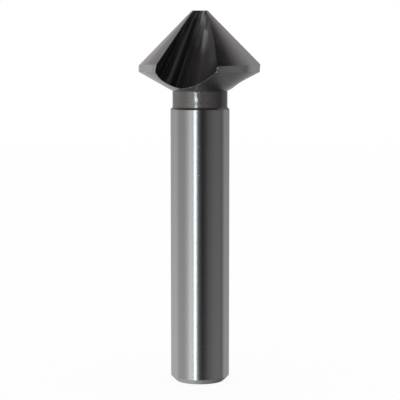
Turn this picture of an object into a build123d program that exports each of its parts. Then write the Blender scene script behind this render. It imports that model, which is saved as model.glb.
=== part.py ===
from build123d import *
import math
import os

# Three-flute countersink of the 90 degree form with a parallel shank, ground from one bar of tool steel.
# Millimetres. The tool stands on the end face of its shank: the origin is the centre of that face,
# the tool axis is +Z, and the point is uppermost.
# Azimuths are counted from -Y towards +X, which is the way the tool turns when it cuts.

NODE = "countersink_bit"

# --- shank and neck -------------------------------------------------------------------------------
LENGTH = 63.0             # end face of the shank to the flat of the point
SHANK_DIAMETER = 10.0     # parallel shank that the chuck grips
END_CHAMFER = 0.9         # 45 degree chamfer round the end face
NECK_DIAMETER = 9.3       # turned down a little between the shank and the head
NECK_LENGTH = 2.7         # from the back cone of the head to the shoulder
SHOULDER_HEIGHT = 0.37    # height of the bevel that leads from the neck out to the shank

# --- head -----------------------------------------------------------------------------------------
HEAD_DIAMETER = 20.7      # over the cylindrical lands
POINT_ANGLE = 90.0        # included angle of the cutting cone
POINT_FLAT = 2.8          # diameter of the flat that cuts off the point
LAND_HEIGHT = 1.3         # cylindrical land below the cutting cone
BACK_ANGLE = 29.5         # slope of the back cone, from the horizontal
RELIEF_TILT = 0.9         # each land is ground to a cone tipped this many degrees back from its cutting edge

# --- flutes ---------------------------------------------------------------------------------------
# A flute is hook-shaped across its run: a straight rake face, a tight root and a hollow flank. Its walls
# fan out from one point on the far side of the tool's axis, so it widens from the point to the rim.
# The sizes across the run are those at the tool's point.
FLUTE_COUNT = 3
FLUTE_AZIMUTH = -53.7     # azimuth in which the first flute runs down and outwards
FLUTE_TILT = 22.6         # between the run of a flute and the tool axis
FAN_DISTANCE = 11.0       # from the point back along the run to where the walls would meet
RAKE_TURN = 30.9          # the rake face turned about the run, from the radial plane
RAKE_SETBACK = 0.69       # rake face behind the tool axis
ROOT_REACH = 1.59         # along the rake face, from level with the tool axis out to the root arc
ROOT_RADIUS = 1.24        # root of the flute
ROOT_TURN = 107.0         # arc of the root, in degrees
FLANK_RADIUS = 8.5        # hollow of the flank, from the root to the heel
FLANK_TURN = 35.0         # arc of the flank, in degrees

# --- worked out from the sizes above --------------------------------------------------------------
HEAD_RADIUS = HEAD_DIAMETER / 2
NECK_RADIUS = NECK_DIAMETER / 2
SHANK_RADIUS = SHANK_DIAMETER / 2
CONE_HEIGHT = (HEAD_RADIUS - POINT_FLAT / 2) / math.tan(math.radians(POINT_ANGLE / 2))
BACK_HEIGHT = (HEAD_RADIUS - NECK_RADIUS) * math.tan(math.radians(BACK_ANGLE))
RIM_Z = LENGTH - CONE_HEIGHT                # upper edge of the cylindrical land
LAND_Z = RIM_Z - LAND_HEIGHT                # lower edge of the cylindrical land
NECK_Z = LAND_Z - BACK_HEIGHT               # root of the back cone
SHOULDER_Z = NECK_Z - NECK_LENGTH           # top of the shoulder's bevel
SHANK_TOP_Z = SHOULDER_Z - SHOULDER_HEIGHT  # top of the parallel shank
FLUTE_PITCH = 360.0 / FLUTE_COUNT
BEHIND = 0.75                               # share of the pitch that a land's grinding takes behind its edge
CLEAR = HEAD_DIAMETER                       # how far a cutting body reaches past what it cuts

# A flute's cutting body starts well above the point and ends well below the head. Its growth is its size
# there over its size at the point.
FLUTE_START = 0.6
FLUTE_END = 1 + (LENGTH - NECK_Z + CLEAR) / FAN_DISTANCE


def turned(points):
    """Turn a half section, given as (radius, height) corners, about the tool axis."""
    return revolve(make_face(Plane.XZ * Polyline(points, close=True)), Axis.Z)


def shank_and_neck():
    return turned([
        (0, 0),
        (SHANK_RADIUS - END_CHAMFER, 0),
        (SHANK_RADIUS, END_CHAMFER),
        (SHANK_RADIUS, SHANK_TOP_Z),
        (NECK_RADIUS, SHOULDER_Z),
        (NECK_RADIUS, NECK_Z),
        (0, NECK_Z),
    ])


def head_blank():
    """The head as it is turned, before the flutes and lands are ground."""
    return turned([
        (0, NECK_Z),
        (NECK_RADIUS, NECK_Z),
        (HEAD_RADIUS, LAND_Z),
        (HEAD_RADIUS, RIM_Z),
        (POINT_FLAT / 2, LENGTH),
        (0, LENGTH),
    ])


def flute_plane():
    """Plane across the first flute at the tool's point, with x along the rake face and y the way it cuts."""
    tilt = math.radians(FLUTE_TILT)
    across = Plane(
        origin=(0, 0, LENGTH),
        x_dir=(0, -math.cos(tilt), math.sin(tilt)),
        z_dir=(0, math.sin(tilt), math.cos(tilt)),
    )
    return Plane(Rot(Z=FLUTE_AZIMUTH) * across.location * Rot(Z=RAKE_TURN))


def flute_section():
    """The hook-shaped space that the wheel grinds, across its run at the tool's point."""
    rake = Line((CLEAR, -RAKE_SETBACK), (ROOT_REACH, -RAKE_SETBACK))
    root = JernArc(rake @ 1, rake % 1, ROOT_RADIUS, -ROOT_TURN)
    flank = JernArc(root @ 1, root % 1, FLANK_RADIUS, -FLANK_TURN)
    way_out = Line(flank @ 1, flank @ 1 + (flank % 1) * CLEAR)
    mouth = Line(way_out @ 1, rake @ 0)
    return make_face([rake, root, flank, way_out, mouth])


def flute():
    """The first flute's space: its section fanned out from above the point to well past the back cone."""
    plane = flute_plane()
    sections = []
    for growth in (FLUTE_START, FLUTE_END):
        level = plane.offset(FAN_DISTANCE * (1 - growth))
        sections.append(level * scale(flute_section(), by=growth))
    return loft(sections, ruled=True)


def edge_azimuth():
    """Azimuth at which the first rake face meets the rim: the outer corner of its cutting edge."""
    plane = flute_plane()
    meeting_point = plane.origin + plane.z_dir * FAN_DISTANCE
    normal = plane.z_dir * RAKE_SETBACK - plane.y_dir * FAN_DISTANCE
    reach = HEAD_RADIUS * math.hypot(normal.X, normal.Y)
    rim_height = normal.dot(meeting_point) - normal.Z * RIM_Z
    middle = math.degrees(math.atan2(normal.X, -normal.Y))
    swing = math.degrees(math.acos(rim_height / reach))
    return min(middle - swing, middle + swing, key=lambda azimuth: abs(azimuth - FLUTE_AZIMUTH))


def land_relief():
    """What is ground off behind the first cutting edge, so that the land falls away towards its heel."""
    to_edge = Rot(Z=edge_azimuth() - 90)
    half_angle = math.radians(POINT_ANGLE / 2)
    apex_z = LENGTH + POINT_FLAT / 2 / math.tan(half_angle)
    above_cone = turned([
        (0, 0),
        (CLEAR, -CLEAR / math.tan(half_angle)),
        (CLEAR, CLEAR),
        (0, CLEAR),
    ])
    tipped_back = to_edge * Pos(0, 0, apex_z) * Rot(X=RELIEF_TILT) * above_cone
    behind_edge = to_edge * Rot(Z=-FLUTE_PITCH * BEHIND) * Pos(0, 0, NECK_Z) * Cylinder(
        CLEAR, LENGTH, arc_size=FLUTE_PITCH, align=(Align.NONE, Align.NONE, Align.MIN)
    )
    return tipped_back & behind_edge


def around(body):
    """The body once for each flute, evenly about the tool axis."""
    return [Rot(Z=turn * FLUTE_PITCH) * body for turn in range(FLUTE_COUNT)]


def countersink():
    head = head_blank() - around(land_relief()) - around(flute())
    return head + shank_and_neck()


os.makedirs("parts", exist_ok=True)
tool = countersink()
export_step(tool, f"parts/{NODE}.step")
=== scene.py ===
# %% [markdown]
# # A three-flute countersink bit
# The object is one bar of tool steel, turned and then ground: a parallel shank for the chuck, a
# short neck, and a 90 degree head with three fan-shaped flutes. Its solid comes ready made from
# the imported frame, in metres, standing on its shank end with the point up. What is left to do here
# is its finish: each surface was made by another tool, and each shows it.

# %% Load the frame
import math

import bpy
from mathutils import Matrix, Vector


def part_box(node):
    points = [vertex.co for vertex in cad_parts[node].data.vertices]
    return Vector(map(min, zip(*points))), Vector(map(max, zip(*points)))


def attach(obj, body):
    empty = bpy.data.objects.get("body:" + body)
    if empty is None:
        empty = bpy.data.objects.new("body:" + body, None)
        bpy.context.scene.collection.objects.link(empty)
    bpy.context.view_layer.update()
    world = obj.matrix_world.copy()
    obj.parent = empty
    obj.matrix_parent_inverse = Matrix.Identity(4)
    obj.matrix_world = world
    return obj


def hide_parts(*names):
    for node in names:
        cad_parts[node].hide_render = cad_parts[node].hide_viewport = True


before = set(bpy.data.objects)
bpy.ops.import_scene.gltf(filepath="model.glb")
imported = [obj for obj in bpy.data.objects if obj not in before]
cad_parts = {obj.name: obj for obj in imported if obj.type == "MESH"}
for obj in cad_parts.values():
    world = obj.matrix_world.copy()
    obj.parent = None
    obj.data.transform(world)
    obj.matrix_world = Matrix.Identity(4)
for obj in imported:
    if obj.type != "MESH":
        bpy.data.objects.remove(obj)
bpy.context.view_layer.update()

NODE = "countersink_bit"
MM = 0.001
low, high = (Vector(corner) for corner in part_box(NODE))
LENGTH = (high.z - low.z) / MM
print("solid:", NODE, "size in mm:", [round(side / MM, 2) for side in high - low])

# %% [markdown]
# ## Numbers that travel along wires
# A procedural finish is mostly arithmetic. Placing a Math node for each sum by hand works, but is
# hard to read later, so one small class wraps the socket at the end of a wire. An expression on
# such values adds the Math nodes, and one method, node, adds any other node: its settings first,
# then what feeds it. The last few methods are short names for nodes that are wanted over and over.


# %% A class for shader arithmetic
class Wire:
    """What comes out of one socket of a node tree."""

    def __init__(self, tree, socket=None):
        self.tree = tree
        self.socket = socket

    def node(self, kind, settings=(), feeds=(), out=0):
        """Add a node and return the wire from one of its outputs, or the node if it has none."""
        made = self.tree.nodes.new(kind)
        for name, value in dict(settings).items():
            if name == "stops":
                set_stops(made.color_ramp, value)
            else:
                setattr(made, name, value)
        for name, value in dict(feeds).items():
            if isinstance(value, Wire):
                self.tree.links.new(value.socket, made.inputs[name])
            else:
                made.inputs[name].default_value = value
        return Wire(self.tree, made.outputs[out]) if made.outputs else made

    def math(self, operation, *values):
        return self.node("ShaderNodeMath", {"operation": operation}, enumerate(values))

    def __add__(self, other):
        return self.math("ADD", self, other)

    def __sub__(self, other):
        return self.math("SUBTRACT", self, other)

    def __rsub__(self, other):
        return self.math("SUBTRACT", other, self)

    def __mul__(self, other):
        return self.math("MULTIPLY", self, other)

    def __truediv__(self, other):
        return self.math("DIVIDE", self, other)

    __radd__ = __add__
    __rmul__ = __mul__

    def ranged(self, start, end, first=0.0, last=1.0, slope="LINEAR"):
        """First as far as start, last from end on, and a slope between the two."""
        return self.node("ShaderNodeMapRange", {"interpolation_type": slope},
                         {0: self, 1: start, 2: end, 3: first, 4: last})

    def vector(self, operation, *others, out="Vector"):
        """Arithmetic on a place or a colour."""
        return self.node("ShaderNodeVectorMath", {"operation": operation},
                         enumerate((self, *others)), out)

    def scaled(self, factor):
        """A place or a colour times a number."""
        return self.node("ShaderNodeVectorMath", {"operation": "SCALE"},
                         {0: self, "Scale": factor}, "Vector")

    def axis(self, name):
        """One coordinate of a place."""
        return self.node("ShaderNodeSeparateXYZ", feeds={0: self}, out=name)

    def bearing(self):
        """Degrees from the front of the tool round towards its right, at a place."""
        x, y = self.axis("X"), self.axis("Y")
        return x.math("ARCTAN2", x, y * -1) * math.degrees(1)


def set_stops(ramp, stops):
    """Give a colour ramp its stops, as (position, grey) pairs in rising order."""
    while len(ramp.elements) < len(stops):
        ramp.elements.new(1.0)
    for element, (position, grey) in zip(ramp.elements, stops):
        element.position = position
        element.color = (grey, grey, grey, 1)


def new_material(name):
    """An empty material and a wire to build its nodes with."""
    material = bpy.data.materials.new(name)
    material.use_nodes = True
    material.node_tree.nodes.clear()
    return material, Wire(material.node_tree)


# %% [markdown]
# ## The camera
# The tool stands upright and is seen almost from the side, from level with its head, through a
# long lens that hardly narrows the shank towards its foot. A camera that is tracked to the tool
# would aim itself, but one with a plain place and pitch can be set to a tenth of a degree.

# %% Set up the camera
CAMERA_DISTANCE = 245 * MM
CAMERA_HEIGHT = 55.9 * MM
CAMERA_PITCH = 5.8         # degrees downwards
LENS = 130.2               # focal length on a sensor 36 mm wide
NEAREST = 10 * MM          # the camera shows nothing closer than this

bpy.ops.object.camera_add(
    location=(0, -CAMERA_DISTANCE, CAMERA_HEIGHT),
    rotation=(math.radians(90 - CAMERA_PITCH), 0, 0),
)
camera = bpy.context.object
camera.data.lens = LENS
camera.data.clip_start = NEAREST
bpy.context.scene.camera = camera
bpy.context.scene.view_settings.view_transform = "Standard"
print("camera:", [round(part, 4) for part in camera.location])

# %% [markdown]
# ## The light
# Bright steel has no colour of its own to speak of: it shows what stands round it. Such a tool is
# set in a tent of white paper, lit through the paper, with a long narrow lamp at the front left, a
# dark card beside the lamp and a dark hood over the camera. A picture of a studio could be wrapped
# round the tool instead, but sheets of paper can be moved and toned one by one. A turned surface
# spreads them across itself like a chart, so their greys are set by their bearing from the tool.
# The tent shows in the steel alone: the camera and the floor see a plain white room.

# %% White all round
WHITE = 1.0
AMBIENT = (0.93, 0.94, 0.96, 1)
SHOWING_RAYS = ("Is Camera Ray", "Is Glossy Ray", "Is Transmission Ray")


def seen_directly(wire):
    """1 on a ray that shows the background itself: to the camera, in metal or through glass."""
    rays = [wire.node("ShaderNodeLightPath", out=name) for name in SHOWING_RAYS]
    return rays[0] + rays[1] + rays[2]


world = bpy.data.worlds.new("white_room")
bpy.context.scene.world = world
world.use_nodes = True
world.node_tree.nodes.clear()
room = Wire(world.node_tree)
ambient = room.node("ShaderNodeBackground", feeds={"Color": AMBIENT})
backdrop = room.node("ShaderNodeBackground", feeds={"Color": (1, 1, 1, 1), "Strength": WHITE})
shown = room.node("ShaderNodeMixShader", feeds={0: seen_directly(room), 1: ambient, 2: backdrop})
room.node("ShaderNodeOutputWorld", feeds={"Surface": shown})
print("room:", world.name, "with", len(world.node_tree.nodes), "nodes")

# %% [markdown]
# ## The floor
# The tool stands on pale matt paper that has no edge to the eye. A huge white plane would do that
# too, but its far edge would draw a line, so this one fades into the white room. To the camera
# most of it is plain white, and only the rest takes the soft shade under the tool.

# %% Lay the floor
FLOOR_RADIUS = 0.9
FLOOR_FADE = 0.35          # from here outwards the floor runs out into the white room
FLOOR_GONE = 0.81          # and here nothing is left of it
FLOOR_GREY = (0.93, 0.93, 0.93, 1)
FLOOR_GLOW = 0.92          # how much of the floor the camera sees as plain white

bpy.ops.mesh.primitive_circle_add(vertices=96, radius=FLOOR_RADIUS, fill_type="NGON")
floor = bpy.context.object
floor.name = "floor"
floor_paint, paper = new_material("floor_paper")
fade = paper.node("ShaderNodeTexCoord", out="Object").vector("LENGTH", out="Value")
fade = fade.ranged(FLOOR_FADE, FLOOR_GONE)
matt = paper.node("ShaderNodeBsdfDiffuse", feeds={"Color": FLOOR_GREY})
glow = paper.node("ShaderNodeEmission", feeds={"Strength": WHITE})
clear = paper.node("ShaderNodeBsdfTransparent")
glowing = FLOOR_GLOW * paper.node("ShaderNodeLightPath", out="Is Camera Ray")
sheet = paper.node("ShaderNodeMixShader", feeds={0: glowing, 1: matt, 2: glow})
sheet = paper.node("ShaderNodeMixShader", feeds={0: fade, 1: sheet, 2: clear})
paper.node("ShaderNodeOutputMaterial", feeds={"Surface": sheet})
floor.data.materials.append(floor_paint)
floor.visible_glossy = False
print("floor:", round(floor.dimensions.x, 2), "m across")

# %% [markdown]
# ## The wall of the tent
# The paper of the tent glows by itself, so a sheet is a mesh with an emission whose strength
# follows its place. By bearing there is plain paper at the back and the left, a duller seam on the
# left, the bright sheet beside the lamp, the dark card, a grey cloth on the right that ends in a
# dark fold, and duller paper from there to the back.


# %% What every sheet of the tent needs
def only_in_steel(sheet):
    """Let a sheet show in the steel alone."""
    sheet.visible_camera = False
    sheet.visible_diffuse = False
    sheet.visible_shadow = False


def lit_paper(name, brightest, tone):
    """Paper that glows. Tone is a function of the place and gives a share of the brightest."""
    material, wire = new_material(name)
    share = tone(wire.node("ShaderNodeTexCoord", out="Object"))
    paper = wire.node("ShaderNodeEmission", feeds={"Color": share, "Strength": brightest})
    wire.node("ShaderNodeOutputMaterial", feeds={"Surface": paper})
    return material


def hang(sheet, name, tone, brightest=WHITE):
    """Make a mesh a sheet of the tent."""
    sheet.name = name
    sheet.data.materials.append(lit_paper(name, brightest, tone))
    only_in_steel(sheet)
    print("sheet:", name, "with", len(sheet.data.polygons), "faces")


def graded(value, limits, stops, brightest=1.0):
    """A grey that follows a value through stops of (value, grey), as a share of the brightest.

    The limits are the values at the two ends of the ramp.
    """
    bottom, top = limits
    share = (value - bottom) / (top - bottom)
    stops = [((at - bottom) / (top - bottom), grey / brightest) for at, grey in stops]
    return value.node("ShaderNodeValToRGB", {"stops": stops}, {0: share})


# %% Hang the wall
WALL_RADIUS = 0.55
WALL_TOP = 0.35
WALL_BOTTOM = -0.40
WALL_BRIGHTEST = 1.6
ALL_ROUND = (-180, 180)
WALL_GREYS = [
    (-180, 0.95), (-141, 0.97), (-105, 0.97), (-97, 0.76), (-86, 0.65), (-66, 0.64),
    (-56, 0.76), (-46, 1.05), (-38, 1.50), (-30, 1.32), (-16, 1.00), (-10, 0.55), (-5, 0.20),
    (3, 0.07), (11, 0.045), (19, 0.09), (27, 0.15), (35, 0.20), (52, 0.27), (61, 0.29),
    (81, 0.30), (88, 0.28), (93, 0.235), (98, 0.26), (103, 0.46), (109, 0.62), (118, 0.68),
    (165, 0.67), (180, 0.95),
]
LOWER_LEVEL, UPPER_LEVEL = -0.12, 0.03
LOWER_SHARE, UPPER_SHARE = 1.12, 0.85      # a little duller level with the head than low down


def wall_tone(place):
    share = place.axis("Z").ranged(LOWER_LEVEL, UPPER_LEVEL, LOWER_SHARE, UPPER_SHARE)
    return share * graded(place.bearing(), ALL_ROUND, WALL_GREYS, WALL_BRIGHTEST)


bpy.ops.mesh.primitive_cylinder_add(
    vertices=120, radius=WALL_RADIUS, depth=WALL_TOP - WALL_BOTTOM, end_fill_type="NOTHING",
    location=(0, 0, (WALL_TOP + WALL_BOTTOM) / 2),
)
bpy.ops.object.transform_apply(location=True)
hang(bpy.context.object, "tent_wall", wall_tone, WALL_BRIGHTEST)

# %% [markdown]
# ## The sheets overhead
# The flutes and the cutting cone face upwards, so they show what hangs over the tool. The roof
# grows darker with height, up to a black opening. A grey card hangs high on the left, and a dark
# hood leans over the camera. Each could be a flat sheet, but a piece of a sphere about the tool's
# head keeps its bearings and heights the same for every part of the head.

# %% Cut a sheet from a sphere
DOME_CENTRE = 0.05


def dome(radius, segments, wanted):
    """The part of a sphere where wanted(bearing, height) holds, both in degrees at its centre."""
    bpy.ops.mesh.primitive_uv_sphere_add(
        segments=segments, ring_count=segments // 2, radius=radius)
    sphere = bpy.context.object
    for face in sphere.data.polygons:
        centre = face.center
        bearing = math.degrees(math.atan2(centre.x, -centre.y))
        height = math.degrees(math.asin(centre.z / centre.length))
        face.select = not wanted(bearing, height)
    bpy.context.tool_settings.mesh_select_mode = (False, False, True)
    bpy.ops.object.mode_set(mode="EDIT")
    bpy.ops.mesh.delete(type="FACE")
    bpy.ops.object.mode_set(mode="OBJECT")
    sphere.location.z = DOME_CENTRE
    return sphere


# %% Hang the roof
ROOF_RADIUS = 0.62
ROOF_FOOT = 16             # degrees above the head's level
ROOF_LIMITS = (0, 90)
ROOF_GREYS = [
    (16, 0.86), (20, 0.76), (25, 0.67), (30, 0.58), (35, 0.52), (42, 0.40), (50, 0.24),
    (55, 0.145), (60, 0.055), (68, 0.008), (90, 0.006),
]


def roof_tone(place):
    z = place.axis("Z")
    height = z.math("ARCSINE", z / ROOF_RADIUS) * math.degrees(1)
    return graded(height, ROOF_LIMITS, ROOF_GREYS)


hang(dome(ROOF_RADIUS, 96, lambda bearing, height: height > ROOF_FOOT), "tent_roof", roof_tone)

# %% Hang the grey card
CARD_RADIUS = 0.58
CARD_FROM, CARD_TO = -126, -84
CARD_FOOT, CARD_HEAD = 15, 41
CARD_LIMITS = (-130, -80)
CARD_GREYS = [
    (-125, 0.10), (-115, 0.06), (-109, 0.09), (-103, 0.16), (-94, 0.34), (-88, 0.58),
    (-84, 0.68),
]


def in_card(bearing, height):
    return CARD_FROM < bearing < CARD_TO and CARD_FOOT < height < CARD_HEAD


hang(dome(CARD_RADIUS, 180, in_card), "grey_card",
     lambda place: graded(place.bearing(), CARD_LIMITS, CARD_GREYS))

# %% Hang the hood
HOOD_RADIUS = 0.5
HOOD_FROM, HOOD_TO = -88, 60
HOOD_FOOT = 12
HOOD_LIMITS = (-90, 60)
HOOD_GREYS = [
    (-90, 0.22), (-75, 0.09), (-60, 0.045), (-25, 0.04), (-12, 0.014), (14, 0.014), (24, 0.05),
    (35, 0.07), (50, 0.09), (60, 0.12),
]


def in_hood(bearing, height):
    return HOOD_FROM < bearing < HOOD_TO and height > HOOD_FOOT


hang(dome(HOOD_RADIUS, 180, in_hood), "hood",
     lambda place: graded(place.bearing(), HOOD_LIMITS, HOOD_GREYS))

# %% [markdown]
# ## The table under the tent
# The back cone faces downwards and shows the table. On the right a dark ring lies round the tool
# and runs out to a grey: a painted shadow of the tool on the table. On the left the table is
# lighter.
# The floor can't take its place, because the floor has to stay white to the camera.

# %% Set the table
TABLE_DROP = -0.2
TABLE_RADIUS = 0.62
TABLE_LEFT = 0.77
TABLE_SEAM = (-0.04, 0.02)     # where the left side gives way to the right
TABLE_LIMITS = (0, 0.6)        # distance from the tool's axis
# The dip in these greys is a painted shadow of the tool.
TABLE_GREYS = [
    (0.0, 0.45), (0.12, 0.30), (0.20, 0.19), (0.26, 0.22), (0.30, 0.28), (0.37, 0.36),
    (0.43, 0.44), (0.55, 0.52),
]


def table_tone(place):
    x, y = place.axis("X"), place.axis("Y")
    right = x.ranged(*TABLE_SEAM)
    distance = x.math("SQRT", x * x + y * y)
    return (1 - right) * TABLE_LEFT + right * graded(distance, TABLE_LIMITS, TABLE_GREYS)


bpy.ops.mesh.primitive_circle_add(vertices=96, radius=TABLE_RADIUS, fill_type="NGON")
bpy.context.object.location.z = TABLE_DROP
hang(bpy.context.object, "table", table_tone)

# %% [markdown]
# ## The strip light
# One long narrow lamp draws the bright line down the shank. It is a real lamp, not a glowing
# sheet, since so small and bright a thing is sampled far better that way.

# %% Hang the lamp
STRIP_BEARING = -18.5
STRIP_DISTANCE = 0.45
STRIP_LEVEL = -0.01
STRIP_WIDTH = 0.077
STRIP_HEIGHT = 0.30
STRIP_RADIANCE = 2.8
STRIP_TINT = (0.80, 0.97, 1.0)

strip_turn = math.radians(STRIP_BEARING)
strip_x = STRIP_DISTANCE * math.sin(strip_turn)
strip_y = -STRIP_DISTANCE * math.cos(strip_turn)
bpy.ops.object.light_add(
    type="AREA",
    location=(strip_x, strip_y, STRIP_LEVEL),
    rotation=(math.radians(90), 0, strip_turn),
)
strip = bpy.context.object
strip.name = "strip_light"
strip.data.shape = "RECTANGLE"
strip.data.size = STRIP_WIDTH
strip.data.size_y = STRIP_HEIGHT
strip.data.color = STRIP_TINT
strip.data.energy = STRIP_RADIANCE * math.pi * STRIP_WIDTH * STRIP_HEIGHT
strip.visible_camera = False
print("strip light:", round(strip.data.energy, 4), "W")

# %% [markdown]
# ## The tool
# The solid's shape is right, so it is kept. It came as loose triangles, so a copy of it is merged,
# and the copy's faces then shade smoothly wherever they meet at a small angle and keep a crisp
# edge elsewhere.

# %% Copy the solid and merge it
MERGE = 0.0005 * MM
SHARPEST_BLEND = 25        # degrees

bpy.ops.object.select_all(action="DESELECT")
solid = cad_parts[NODE]
solid.select_set(True)
bpy.context.view_layer.objects.active = solid
bpy.ops.object.duplicate()
tool = bpy.context.object
tool.name = "ground_tool"
tool.data.materials.clear()
bpy.ops.object.mode_set(mode="EDIT")
bpy.ops.mesh.select_all(action="SELECT")
bpy.ops.mesh.remove_doubles(threshold=MERGE)
bpy.ops.mesh.customdata_custom_splitnormals_clear()
bpy.ops.object.mode_set(mode="OBJECT")
bpy.ops.object.shade_smooth_by_angle(angle=math.radians(SHARPEST_BLEND))
print("tool:", len(tool.data.vertices), "points,", len(tool.data.polygons), "faces")

# %% [markdown]
# ## Marks of the wheel and the lathe
# Every cutting process leaves fine lines in the direction in which it ran. They could be painted,
# but a noise that is stretched hugely along the lines makes them at any size. A little of it goes
# into the surface's height, and some into its roughness and its grey. On a turned or a
# cylindrically ground surface the lines run round the axis.


# %% Lines and patches
def stretched(place, across, along):
    """The place squeezed so that a noise on it makes lines round the axis: so many to a mm."""
    return place.vector("MULTIPLY", (along, along, across))


def noise(place, detail, seed=0):
    """A noise from 0 to 1 with features about one unit across."""
    return place.node("ShaderNodeTexNoise", {"noise_dimensions": "4D"},
                      {"Vector": place, "W": seed, "Scale": 1.0, "Detail": detail}, "Fac")


def patch(value, start, full, still_full, end):
    """A share that rises from 0 at start to 1 at full, and falls from still_full to 0 at end."""
    rise = value.ranged(start, full, slope="SMOOTHSTEP")
    fall = value.ranged(still_full, end, 1.0, 0.0, slope="SMOOTHSTEP")
    return rise * fall


def mixed(wire, share, first, second):
    """A blend of two colours, each a wire or a plain colour."""
    return wire.node("ShaderNodeMix", {"data_type": "RGBA"}, {0: share, 6: first, 7: second}, 2)


# %% Bare steel
EDGE_TINT = (0.72, 0.72, 0.72, 1)      # bare steel seen at a glancing angle
SKIN_SPREAD = 0.8                      # how much the marks change the share of the dull skin


def sheen(wire, grey, roughness, normal):
    """The shine of bare metal."""
    return wire.node("ShaderNodeBsdfPrincipled", feeds={
        "Base Color": grey, "Metallic": 1.0, "Roughness": roughness, "Normal": normal,
        "Specular Tint": EDGE_TINT})


def steel(name, tint, roughness, lines, depth, unevenness, mottle, paint_light=None, skin=None):
    """Bare steel. Lines is a function that makes the marks; depth is their height in millimetres.

    The marks change the roughness by the unevenness, and the grey by the mottle. An optional
    function paints light and shade into the grey: highlights, glints and shade. Skin is the
    roughness and the share of the dull skin that hardening leaves.
    """
    material, wire = new_material(name)
    place = wire.node("ShaderNodeTexCoord", out="Object").scaled(1 / MM)
    marks = lines(place)
    dull = tuple(share * (1 - mottle) for share in tint) + (1,)
    bright = tuple(share * (1 + mottle) for share in tint) + (1,)
    grey = mixed(wire, marks, dull, bright)
    # Painted light: highlights, glints and shade put into the grey.
    if paint_light:
        grey = paint_light(place, grey)
    rough = roughness + unevenness * (marks - 0.5)
    normal = wire.node(
        "ShaderNodeBump", feeds={"Height": marks, "Distance": depth * MM}, out="Normal")
    metal = sheen(wire, grey, rough, normal)
    if skin:
        skin_roughness, share = skin
        share = share + (marks - 0.5) * SKIN_SPREAD
        dull_skin = sheen(wire, grey, skin_roughness, normal)
        metal = wire.node("ShaderNodeMixShader", feeds={0: share, 1: metal, 2: dull_skin})
    wire.node("ShaderNodeOutputMaterial", feeds={"Surface": metal})
    print("finish:", name, "with", len(material.node_tree.nodes), "nodes")
    return material


# %% [markdown]
# ## The shank
# The shank is ground between centres and has the finest finish: close lines round the axis, over a
# very slight ripple. Two small scratches on its front show that it has been handled. They are in
# its height, so that they catch the light as scratches do.

# %% The shank's finish
TICK_LENGTH, TICK_WIDTH = 0.32, 0.09
TICKS = [(-0.20, 40.5, -45), (-0.18, 35.65, -35)]      # x and z, and the slope in degrees
TICK_HEIGHT = 4.0                                      # the lines' own height is 1


def tick(place, x, z, slope):
    """A small scratch on the front of the shank, as a share from 0 to 1."""
    side, height = place.axis("X") - x, place.axis("Z") - z
    cos, sin = math.cos(math.radians(slope)), math.sin(math.radians(slope))
    along = cos * side + sin * height
    across = cos * height - sin * side
    return (patch(along, -TICK_LENGTH / 2, -TICK_LENGTH / 3, TICK_LENGTH / 3, TICK_LENGTH / 2)
            * patch(across, -TICK_WIDTH, 0, 0, TICK_WIDTH))


def shank_lines(place):
    fine = noise(stretched(place, across=9, along=0.8), detail=2)
    ripple = noise(stretched(place, across=2.2, along=1.6), detail=2, seed=4)
    first, second = (tick(place, *where) for where in TICKS)
    return 0.6 * fine + 0.4 * ripple + TICK_HEIGHT * (first + second)


FINISHES = {"shank": steel(
    "ground_shank", tint=(0.365, 0.36, 0.362), roughness=0.17, lines=shank_lines, depth=0.012,
    unevenness=0.10, mottle=0.03)}

# %% [markdown]
# ## The neck
# The neck and its shoulder are as turned and hardened: dull, brown-grey and coarse. The lamp draws
# a line of bright beads down the neck where the tops of the turned ridges shine through the dull
# skin, and further beads are painted into the grey along that line. A single roughness can't give
# both the dull skin and the bright line, so a dull sheen is mixed with a bright one. The grey
# follows
# the bearing as painted light: a painted highlight along and just right of the lamp's line, and
# painted shade from about 30 to 70 degrees round to the right.

# %% The finish of the neck and the shoulder
BRIGHTEST_NECK = 2.3
# Painted light by bearing: a highlight along the lamp's line, shade further round to the right.
NECK_PAINTED_LIGHT = [
    (-80, 1.30), (-60, 1.08), (-37, 1.14), (-18, 1.02), (-12.4, 1.02), (-10.3, 1.72),
    (-8.2, 2.25), (-6.1, 1.72), (-4, 1.27), (-2, 1.62), (2, 1.72), (6, 1.95), (9, 2.05),
    (12, 1.85), (19, 1.35), (28, 0.96), (40, 0.65), (50, 0.57), (62, 0.66), (72, 0.92),
    (90, 1.40),
]
PAINTED_BEAD_BEARINGS = (-13, -9, -7, -3)             # bearings of the lamp's line, where beads are painted
PAINTED_BEAD_CONTRAST = 3.0


def neck_lines(place):
    turned = noise(stretched(place, across=4.5, along=0.5), detail=3, seed=1)
    scale = noise(stretched(place, across=2.8, along=2.4), detail=3, seed=2)
    return 0.4 * turned + 0.6 * scale


# Paints the highlight, the shade and the bright beads into the neck's grey.
def neck_painted_light(place, grey):
    bearing = place.bearing()
    painted_tone = graded(bearing, ALL_ROUND, NECK_PAINTED_LIGHT, BRIGHTEST_NECK) * BRIGHTEST_NECK
    painted_beads = noise(stretched(place, across=1.3, along=0.4), detail=1, seed=11) - 0.5
    return grey.scaled(painted_tone * (1 + PAINTED_BEAD_CONTRAST * painted_beads * patch(bearing, *PAINTED_BEAD_BEARINGS)))


FINISHES["neck"] = steel(
    "turned_neck", tint=(0.185, 0.176, 0.172), roughness=0.09, lines=neck_lines, depth=0.07,
    unevenness=0.06, mottle=0.20, paint_light=neck_painted_light, skin=(0.50, 0.50))
FINISHES["shoulder"] = steel(
    "turned_shoulder", tint=(0.17, 0.162, 0.16), roughness=0.30, lines=neck_lines, depth=0.02,
    unevenness=0.10, mottle=0.15)

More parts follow.
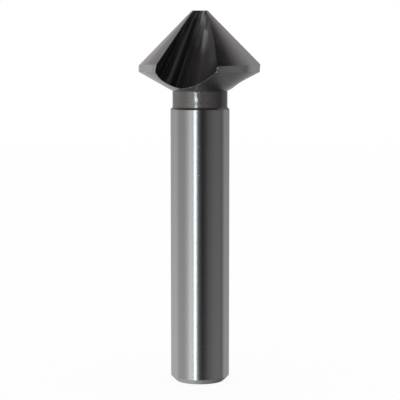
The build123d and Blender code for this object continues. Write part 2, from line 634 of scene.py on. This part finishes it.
# %% [markdown]
# ## The outside of the head
# The back cone and the end of the shank are turned finer than the neck. The lands, the cutting
# cone and the flat of the point are ground by one wheel, so they share their lines. On the heel of
# the front flute three small glints are painted on: too small to be worth a shape, the steel is
# simply white there. A worn edge glints only here and there, and a noise of which no more than the
# peaks are used gives just such short stretches.

# %% The finishes of the back cone, the lands and the point
# Three painted glints on the heel of the front flute, in millimetres.
PAINTED_GLINTS = [(2.80, -9.95, 53.45), (2.62, -9.95, 52.90), (1.30, -8.32, 51.90)]
GLINT_CORE, GLINT_RIM = 0.10, 0.24       # the radii at which a painted glint starts to fade and is gone


def back_lines(place):
    turned = noise(stretched(place, across=7, along=0.25), detail=3, seed=3)
    patches = noise(stretched(place, across=1.2, along=0.8), detail=2, seed=5)
    return 0.7 * turned + 0.3 * patches


def land_lines(place):
    return noise(stretched(place, across=6, along=0.9), detail=3, seed=6)


# Paints each glint as white steel.
def paint_glints(place, grey):
    for glint in PAINTED_GLINTS:
        away = place.vector("DISTANCE", glint, out="Value")
        bright = away.ranged(GLINT_CORE, GLINT_RIM, 1.0, 0.0, slope="SMOOTHSTEP")
        grey = mixed(place, bright, grey, (1, 1, 1, 1))
    return grey


FINISHES["back"] = steel(
    "turned_back_cone", tint=(0.345, 0.342, 0.347), roughness=0.27, lines=back_lines, depth=0.02,
    unevenness=0.12, mottle=0.15, paint_light=paint_glints)
FINISHES["land"] = steel(
    "ground_land", tint=(0.402, 0.395, 0.398), roughness=0.20, lines=land_lines, depth=0.006,
    unevenness=0.08, mottle=0.05, paint_light=paint_glints)
FINISHES["cone"] = steel(
    "ground_cone_land", tint=(0.408, 0.389, 0.385), roughness=0.22, lines=land_lines, depth=0.006,
    unevenness=0.08, mottle=0.05)
FINISHES["point"] = steel(
    "ground_point", tint=(0.30, 0.29, 0.29), roughness=0.25, lines=land_lines, depth=0.004,
    unevenness=0.05, mottle=0.05)

# %% The finishes of the worn edges and the end
GLINT_FROM = 0.57                      # the noise above which an edge glints
GLINT_RISE = 7


def edge_glints(place):
    """Mostly 0, with short stretches of 1."""
    grains = noise(stretched(place, across=2.6, along=2.6), detail=2, seed=9)
    return GLINT_RISE * (grains - GLINT_FROM)


FINISHES["edge"] = steel(
    "worn_and_glinting_edge", tint=(0.50, 0.495, 0.49), roughness=0.30, lines=edge_glints, depth=0.01,
    unevenness=0.10, mottle=0.62, paint_light=paint_glints)
# The end's grey is lighter than the other turned steel: painted light that brightens its chamfer.
FINISHES["end"] = steel(
    "turned_end", tint=(0.44, 0.438, 0.44), roughness=0.24, lines=back_lines, depth=0.01,
    unevenness=0.10, mottle=0.08)

# %% [markdown]
# ## The flutes
# Each flute is ground deep in one pass. The wheel's lines run along it, and as its walls fan out
# from one point, so do the lines: a noise on the direction from that point makes them. Broad
# painted bands of light and shade follow the way round the flute's section, so a place has to be
# told by that: the section lies across the flute's run at the tool's point, out along the rake
# face and across it, and the way round is counted in degrees about the root. The rake face is at
# -90 and above, the root down to -197, and the hollow flank beyond.

# %% The section of a flute
FLUTES = 3
FLUTE_BEARING = -53.7                  # the bearing in which the first flute runs down and out
FLUTE_TILT = 22.6                      # degrees between the run of a flute and the tool's axis
RAKE_TURN = 30.9                       # degrees by which the rake face is turned about the run
RAKE_SETBACK = 0.69                    # from the tool's axis back to the rake face, in millimetres
ROOT_REACH, ROOT_RADIUS = 1.59, 1.24
ROOT_FROM, ROOT_TURN = -90, 107        # where the root leaves the rake face, and its arc
FLANK_RADIUS = 8.5
FAN_DISTANCE = 11.0                    # from the section to the fan point
FULL_TURN = (-300, 60)                 # the count starts and ends in the open mouth of the flute

tilt, rake = math.radians(FLUTE_TILT), math.radians(RAKE_TURN)
outwards, sideways = Vector((0, -math.cos(tilt), math.sin(tilt))), Vector((1, 0, 0))
to_bearing = Matrix.Rotation(math.radians(FLUTE_BEARING), 3, "Z")
OUT = to_bearing @ (outwards * math.cos(rake) + sideways * math.sin(rake))
ACROSS = to_bearing @ (sideways * math.cos(rake) - outwards * math.sin(rake))
RUN = to_bearing @ Vector((0, math.sin(tilt), math.cos(tilt)))
FAN_POINT = Vector((0, 0, LENGTH)) + RUN * FAN_DISTANCE
FLANK_FROM = ROOT_FROM - ROOT_TURN
to_flank = Vector((math.cos(math.radians(FLANK_FROM)), math.sin(math.radians(FLANK_FROM))))
ROOT_CENTRE = Vector((ROOT_REACH, ROOT_RADIUS - RAKE_SETBACK))
FLANK_CENTRE = ROOT_CENTRE - to_flank * (FLANK_RADIUS - ROOT_RADIUS)


def turned_about(flute, vector):
    """The first flute's vector turned round to another flute."""
    turn = math.radians(360 / FLUTES * flute)
    x, y, z = vector
    return (x * math.cos(turn) - y * math.sin(turn), x * math.sin(turn) + y * math.cos(turn), z)


def way_round(place, flute):
    """Degrees about the root of a flute."""
    way = place.vector("SUBTRACT", turned_about(flute, FAN_POINT))
    lines = (line + RUN * (centre / FAN_DISTANCE)
             for line, centre in zip((OUT, ACROSS), ROOT_CENTRE))
    out, across = (
        way.vector("DOT_PRODUCT", turned_about(flute, line), out="Value") for line in lines)
    lowest, highest = FULL_TURN
    return way.math("WRAP", way.math("ARCTAN2", across, out) * math.degrees(1), highest, lowest)


for flute in range(FLUTES):
    point = turned_about(flute, FAN_POINT)
    print("flute", flute, "fans out from", [round(part, 2) for part in point])

# %% [markdown]
# ## Painted bands, streaks and spots
# The painted bands grow darker towards the open end of the flute. Painted highlights lie on the
# flank and the root in some places, and painted shade in others. Each such place is a patch with
# soft sides, between some degrees about the root and between some heights. They change only how
# much light the steel gives back, as painted light and shade.

# %% The flutes' bands and patches
BRIGHTEST_BAND = 1.4
FLUTE_LIMITS = (-290, -60)
# Painted light and shade, by the way round the flute's section.
FLUTE_PAINTED_BANDS = [
    (-290, 1.30), (-262, 1.30), (-250, 1.15), (-241, 0.95), (-231, 0.80), (-221, 0.80),
    (-212, 0.95), (-203, 1.12), (-195, 1.00), (-186, 0.84), (-177, 0.66), (-168, 0.62),
    (-163, 0.54), (-155, 0.53), (-147, 0.50), (-144, 0.72), (-141, 0.93), (-138, 0.76),
    (-131, 0.54), (-128, 0.46), (-124, 0.92), (-119, 1.15), (-105, 1.25), (-60, 1.20),
]
PAINTED_SHADE_BELOW = (49.6, 53.5, 0.66, 1.0)     # two heights, and the share of the painted bands at each: painted shade below
FLUTE_PAINTED_PATCHES = [                      # gain, degrees about the root, heights in millimetres
    (0.8, (-270, -262, -254, -246), (55.5, 57.5, 60.4, 62.3)),     # painted highlight streak beside the painted spot
    (-0.5, (-236, -222, -206, -188), (61.6, 62.5, 70, 71)),        # painted shade on the flank, at the top
    (1.1, (-212, -192, -174, -150), (57.0, 60.5, 66, 67)),         # painted highlight in the root
    (1.0, (-230, -217, -205, -188), (56.3, 57.6, 59.3, 60.3)),     # painted highlight beside the root
    (1.2, (-330, -300, -277, -262), (52.8, 55.0, 59.3, 60.5)),     # painted highlight on the heel's side of the flank
    (1.4, (-208, -192, -150, -138), (61.0, 62.8, 70, 71)),         # painted highlight in the root, at the top
    (-0.6, (-134, -126, -118, -108), (56.5, 61.0, 66, 67)),        # painted shade beside the rake face
]
PAINTED_SPOT = (2.4, 0.5, 1.0)               # how bright a highlight spot is painted on each flute's flank
PAINTED_SPOT_TURN = (-256, -249, -243, -232)
PAINTED_SPOT_HEIGHTS = [(1.0, (55.0, 57.8, 58.8, 60.4)), (0.28, (59.8, 61.0, 61.9, 62.5))]
PAINTED_SPOT_BEND = (59.2, 61.5, 0, 25)      # two heights, and how far the place bends aside at each
# The painted highlight spot has a brighter core.
CORE_SHARE = 0.7
CORE = ((-262, -250, -242, -228), (57.2, 58.3, 59.0, 60.2))
THIN_LINE = (0.58, 0.52, 0.47, 1)
THIN_LINE_PLACE = ((-172.4, -171.0, -169.6, -168.2), (50, 51, 55.0, 58.0))
print("on each flute:", len(FLUTE_PAINTED_BANDS), "stops of grey and", len(FLUTE_PAINTED_PATCHES) + 3, "patches")


# %% The flutes' finish
def flute_lines(flute):
    """The wheel's lines: the direction from the fan point, and noises on it."""
    def lines(place):
        way = place.vector("SUBTRACT", turned_about(flute, FAN_POINT)).vector("NORMALIZE")
        broad = noise(way.scaled(36), detail=1, seed=7)
        fine = noise(way.scaled(95), detail=0, seed=8)
        return 0.5 * broad + 0.5 * fine
    return lines


def spot(turn, height, turns, heights):
    """A patch on a flute, between some degrees about the root and some heights."""
    return patch(turn, *turns) * patch(height, *heights)


# Paints the bands, the patches and the bright spot into a flute's grey as light and shade.
def flute_painted_light(flute):
    def paint_light(place, grey):
        turn, height = way_round(place, flute), place.axis("Z")
        painted_tone = (graded(turn, FLUTE_LIMITS, FLUTE_PAINTED_BANDS, BRIGHTEST_BAND) * BRIGHTEST_BAND
                 * height.ranged(*PAINTED_SHADE_BELOW))
        for gain, turns, heights in FLUTE_PAINTED_PATCHES:
            painted_tone = painted_tone + gain * spot(turn, height, turns, heights)
        lower, upper = (share * patch(height, *heights) for share, heights in PAINTED_SPOT_HEIGHTS)
        painted_spot = patch(turn - height.ranged(*PAINTED_SPOT_BEND), *PAINTED_SPOT_TURN) * (lower + upper)
        core = spot(turn, height, *CORE)
        painted_tone = painted_tone + PAINTED_SPOT[flute] * (painted_spot + CORE_SHARE * core)
        line = spot(turn, height, *THIN_LINE_PLACE)
        return mixed(place, line, grey.scaled(painted_tone), THIN_LINE)
    return paint_light


for flute in range(FLUTES):
    FINISHES[f"flute {flute}"] = steel(
        f"ground_flute_{flute}", tint=(0.30, 0.285, 0.287), roughness=0.20,
        lines=flute_lines(flute), depth=0.009, unevenness=0.15, mottle=0.20,
        paint_light=flute_painted_light(flute))

# %% [markdown]
# ## Which surface a face lies on
# Picking the faces by hand would go wrong as soon as the solid changed. A face is told by its
# height and the way it faces instead. What is none of the turned or ground surfaces belongs to a
# flute, and to the one whose slope there is nearest to the face's. A flute's slope follows from
# its section: on the root and the flank it is towards the centre of the arc, on the rake face
# straight across, and everywhere it is square to the line from the fan point.


# %% The slope of a flute at a place
def flute_normal(place, flute):
    out, across, run = (Vector(turned_about(flute, line)) for line in (OUT, ACROSS, RUN))
    way = place - Vector(turned_about(flute, FAN_POINT))
    growth = -way.dot(run) / FAN_DISTANCE
    u, w = way.dot(out) / growth, way.dot(across) / growth
    turn = math.degrees(math.atan2(w - ROOT_CENTRE[1], u - ROOT_CENTRE[0]))
    if turn > FULL_TURN[1]:
        turn -= 360
    if turn > ROOT_FROM:
        inwards = (0, 1)
    else:
        centre = ROOT_CENTRE if turn > FLANK_FROM else FLANK_CENTRE
        inwards = (centre[0] - u, centre[1] - w)
    rise = (inwards[0] * u + inwards[1] * w) / FAN_DISTANCE
    return (out * inwards[0] + across * inwards[1] + run * rise).normalized()


# %% Tell the surfaces apart
CLOSE = 0.01                           # millimetres
TOPS = {"end": 0.9, "shank": 46.455, "shoulder": 46.825, "neck": 49.525}    # upper edges
SLOPES = {"back": -60.5, "land": 0.0, "cone": 45.0}    # how far each faces upwards, in degrees
STRAY = 9                              # degrees by which a sliver may face away from its surface
RADIAL = 0.98                          # least cosine, from above, to the way out from the axis


def surface_of(face):
    place = face.center / MM
    for name, top in TOPS.items():
        if place.z < top + CLOSE:
            return name
    if place.z > LENGTH - CLOSE:
        return "point"
    if place.xy.normalized().dot(face.normal.xy.normalized()) > RADIAL:
        upwards = math.degrees(math.atan2(face.normal.z, face.normal.xy.length))
        for name, slope in SLOPES.items():
            if abs(upwards - slope) < STRAY:
                return name
    flute = max(range(FLUTES), key=lambda flute: flute_normal(place, flute).dot(face.normal))
    return f"flute {flute}"


slots = {name: index for index, name in enumerate(FINISHES)}
for material in FINISHES.values():
    tool.data.materials.append(material)
areas = dict.fromkeys(FINISHES, 0.0)
for face in tool.data.polygons:
    name = surface_of(face)
    face.material_index = slots[name]
    areas[name] += face.area / MM / MM
print("areas in square mm:", {name: round(area, 1) for name, area in areas.items()})

# %% [markdown]
# ## Worn edges
# Where a flute runs out through the land and the back cone, handling has left a hair-thin bright
# edge. A bevel on the whole head would spoil its shading, so only the edges between a flute and
# those two surfaces are taken down, in a single narrow facet.

# %% Take the sharpness off the heel edges
WORN = 0.03 * MM

flute_slots = {slots[f"flute {flute}"] for flute in range(FLUTES)}
outer_slots = {slots["back"], slots["land"]}
met = {}
for face in tool.data.polygons:
    for edge in face.edge_keys:
        met.setdefault(edge, set()).add(face.material_index)
bpy.ops.object.mode_set(mode="EDIT")
bpy.ops.mesh.select_all(action="DESELECT")
bpy.context.tool_settings.mesh_select_mode = (False, True, False)
bpy.ops.object.mode_set(mode="OBJECT")
for edge in tool.data.edges:
    edge.select = bool(met[edge.key] & flute_slots) and bool(met[edge.key] & outer_slots)
print("worn edges:", sum(edge.select for edge in tool.data.edges), "of", len(met))
bpy.ops.object.mode_set(mode="EDIT")
bpy.ops.mesh.bevel(offset=WORN, segments=1, affect="EDGES", material=slots["edge"])
bpy.ops.object.mode_set(mode="OBJECT")
bpy.ops.object.shade_smooth_by_angle(angle=math.radians(SHARPEST_BLEND))

# %% [markdown]
# ## True slopes
# The solid's flutes are made of slivers, and an average of their directions makes the reflections
# tremble. A finer solid would help a little. The flutes' slopes are known exactly, so they are
# given to the corners of the faces instead, and the shape stays as it is.

# %% Give the flutes their true slopes
normals = [corner.vector.copy() for corner in tool.data.corner_normals]
turned = area = 0.0
for face in tool.data.polygons:
    if face.material_index in flute_slots:
        flute = face.material_index - min(flute_slots)
        slope = flute_normal(face.center / MM, flute)
        turned += face.area * math.degrees(slope.angle(face.normal, 0.0))
        area += face.area
        for corner in face.loop_indices:
            place = tool.data.vertices[tool.data.loops[corner].vertex_index].co / MM
            normals[corner] = flute_normal(place, flute)
tool.data.normals_split_custom_set(normals)
print("the slivers lie off the true slopes by", round(turned / area, 2), "degrees on average")

# %% Put the finished tool in the solid's place
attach(tool, "root")
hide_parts(NODE)
print(tool.name, "replaces", NODE)
